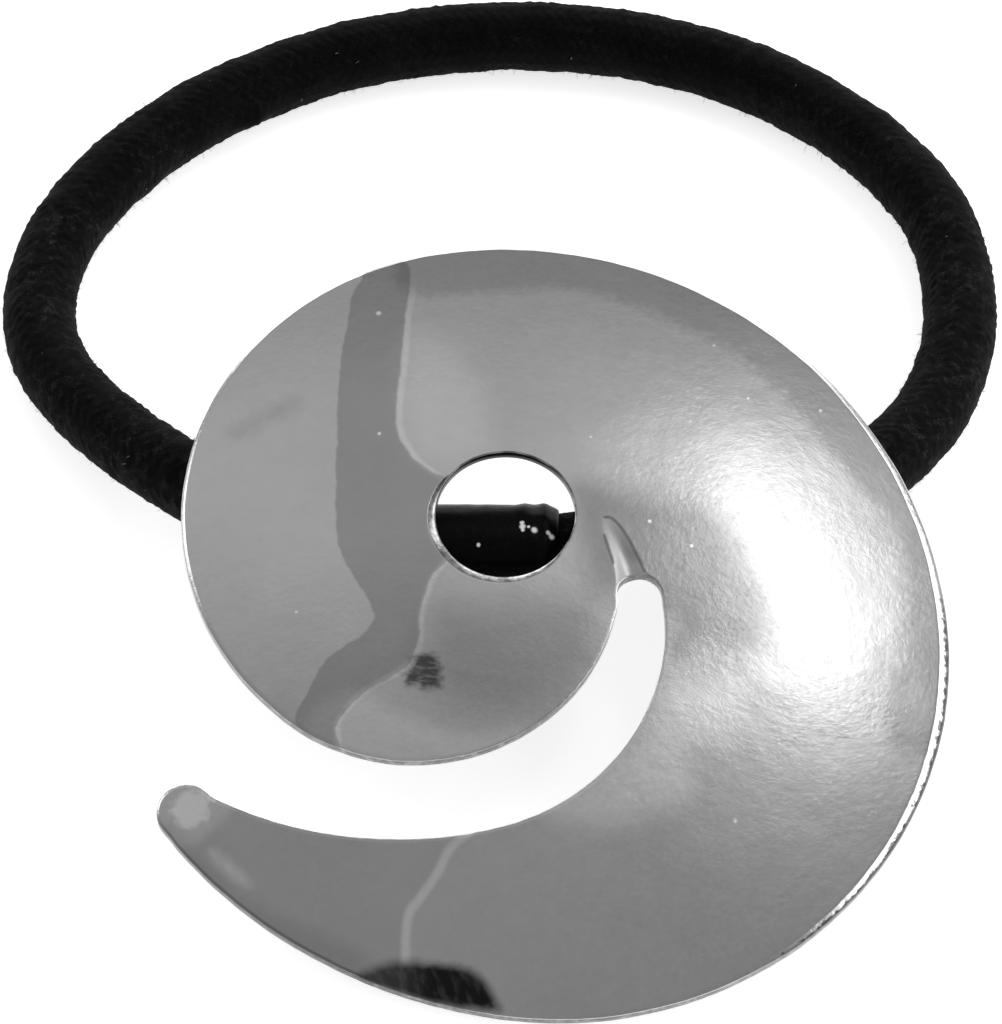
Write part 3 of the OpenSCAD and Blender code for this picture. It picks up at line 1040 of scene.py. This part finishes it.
def make_fuzz(middle, side, up):
    """Short loose fibres on the elastic, a few of them pale lint."""
    rng = np.random.default_rng(11)
    at = rng.integers(BARE_ENDS, len(middle) - BARE_ENDS, FIBRES)
    turn = rng.uniform(0, 2 * math.pi, FIBRES)
    out = np.cos(turn)[:, None] * side[at] + np.sin(turn)[:, None] * up[at]
    lies_down = rng.normal(size=(FIBRES, 3)) * 0.8
    pale = np.zeros(FIBRES)
    pale[:LINT] = rng.uniform(0.4, 1.0, LINT)
    length = rng.uniform(*FIBRE_LENGTHS, FIBRES)
    thickness = 0.013 + 0.03 * pale
    root = middle[at] + out * (ELASTIC_D / 2 - ROOT_DEPTH)
    bend = out * 0.35 + lies_down * 0.3
    mid_point = root + out * (length * 0.28)[:, None] + bend * (length * 0.5)[:, None]
    tip = mid_point + (lies_down * 0.55 + out * 0.1) * (length * 0.5)[:, None]
    keep = (tip[:, 2] > FLOOR_ROOM) & (mid_point[:, 2] > FLOOR_ROOM)
    lines = np.stack([root, mid_point, tip], axis=1)
    points, faces, values = [], [], []
    for line, thick, tint in zip(lines[keep], thickness[keep], pale[keep]):
        fibre, fibre_faces = tube(line, (thick, thick, thick * 0.5), 3)
        first = len(points) * len(fibre)
        faces += [[k + first for k in face] for face in fibre_faces]
        points.append(fibre)
        values.append(np.full(len(fibre), tint))
    fuzz = new_piece("elastic_fuzz", np.vstack(points), faces, fuzz_fibre())
    set_values(fuzz, "lint", np.concatenate(values))


def make_sleeve():
    """The shrunk sleeve over the elastic's ends, with rolled ends and shallow creases."""
    half, outer, inner = SLEEVE_L / 2, SLEEVE_D / 2, ELASTIC_D / 2 + SLEEVE_ROOM
    left_end = [(0.3, inner), (0, inner), (0, outer - 0.3), (0.1, outer - 0.08), (0.3, outer)]
    right_end = [
        (-0.1, outer - 0.05), (0.1, outer - 0.17), (0.4, inner + 0.25), (0.6, inner + 0.12), (0.65, inner),
        (0.3, inner),
    ]
    shape = [(x - half, radius) for x, radius in left_end]
    shape += [(x, outer) for x in np.linspace(-half + 0.5, half - 0.3, 60)]
    shape += [(half + x, radius) for x, radius in right_end]
    turns = np.arange(SLEEVE_SIDES) * 2 * math.pi / SLEEVE_SIDES
    points = np.array([(x, r * math.cos(t), r * math.sin(t)) for x, r in shape for t in turns])
    out = points * (0, 1, 1)
    out /= np.linalg.norm(out, axis=1)[:, None]
    creased = 0.008 + 0.05 * np.clip((points[:, 0] - 2.5) / 1.0, 0, 1)
    creases = ripple(points * (1, 0.4, 0.4), 7, 1.1) * creased + ripple(points, 8, 4.0) * 0.012
    points = points + out * (creases - 0.05)[:, None]
    points += (SLEEVE_X, SLEEVE_Y, SLEEVE_RISE + ELASTIC_D / 2)
    faces = []
    for i in range(len(shape) - 1):
        lower = list(range(i * SLEEVE_SIDES, (i + 1) * SLEEVE_SIDES))
        faces += strip([k + SLEEVE_SIDES for k in lower], lower)
    sleeve = new_piece("sleeve", points, faces, sleeve_plastic())
    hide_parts("join_sleeve")


def make_plate(sheet, metal):
    """The domed sheet, with what its material reads of its marks and edges."""
    points, faces, places, edge = sheet
    plate = new_piece("plate", plate_to_tie(points), faces, metal)
    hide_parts("spiral_plate")
    on_back = edge > 1
    for mark, depth in depths_in_patches(places).items():
        set_values(plate, mark, np.where(on_back, -FAR_OFF, depth))
    for mark, distance in distances_to_lines(places).items():
        set_values(plate, mark, np.where(on_back, FAR_OFF, distance))
    set_values(plate, "hole_wall", np.linalg.norm(places, axis=1) < HOLE_R + WALL_REACH)
    set_values(plate, "edge", edge)


def make_keeper(name, row, metal):
    """A wire under the elastic, bent up at both sides and soldered to the back of the sheet."""
    before, here, after = (np.array(ROUTE[row + k], float) + LYING for k in (-1, 0, 1))
    at = tie_to_plate(here[None])[0]
    turn = math.atan((after - before)[1] / (after - before)[0])
    ring_r = ELASTIC_D / 2 + KEEPER_GAP + KEEPER_WIRE / 2
    side, up = np.array([-math.sin(turn), math.cos(turn), 0]), np.array((0, 0, 1))
    feet = []
    for sign in (-1, 1):
        foot = at + sign * ring_r * side
        foot[2] = back_height(foot[None, :2])[0] + FOOT_DEPTH
        feet.append(foot)
    turns = np.linspace(0, math.pi, 25)
    bow = [at - math.cos(a) * ring_r * side - math.sin(a) * ring_r * up for a in turns]
    line = np.vstack([np.linspace(feet[0], bow[0], 9)[:-1], bow, np.linspace(bow[-1], feet[1], 9)[1:]])
    from_foot = np.min([np.linalg.norm(line - foot, axis=1) for foot in feet], axis=0)
    solder = SOLDER_SPREAD * np.exp(-from_foot / SOLDER_HEIGHT)
    points, faces = tube(line, KEEPER_WIRE / 2 + solder, 20)
    keeper = new_piece(name, plate_to_tie(points), faces, metal)
    for mark in [*PATCHES, "dent", "band_edge", "tail_pale_line", "dent_line"]:
        set_values(keeper, mark, np.full(len(points), -FAR_OFF))
    set_values(keeper, "edge", np.full(len(points), ON_BACK))


make_camera()
make_elastic()
make_sleeve()
sheet = plate_mesh()
hole_z = height_of_hole(sheet[0])
metal = PlateMetal().finished()
make_plate(sheet, metal)
make_keeper("keeper_right", RIGHT_KEEPER, metal)
make_keeper("keeper_left", LEFT_KEEPER, metal)
for light in LIGHTS:
    make_light(*light)
make_room()
make_floor()
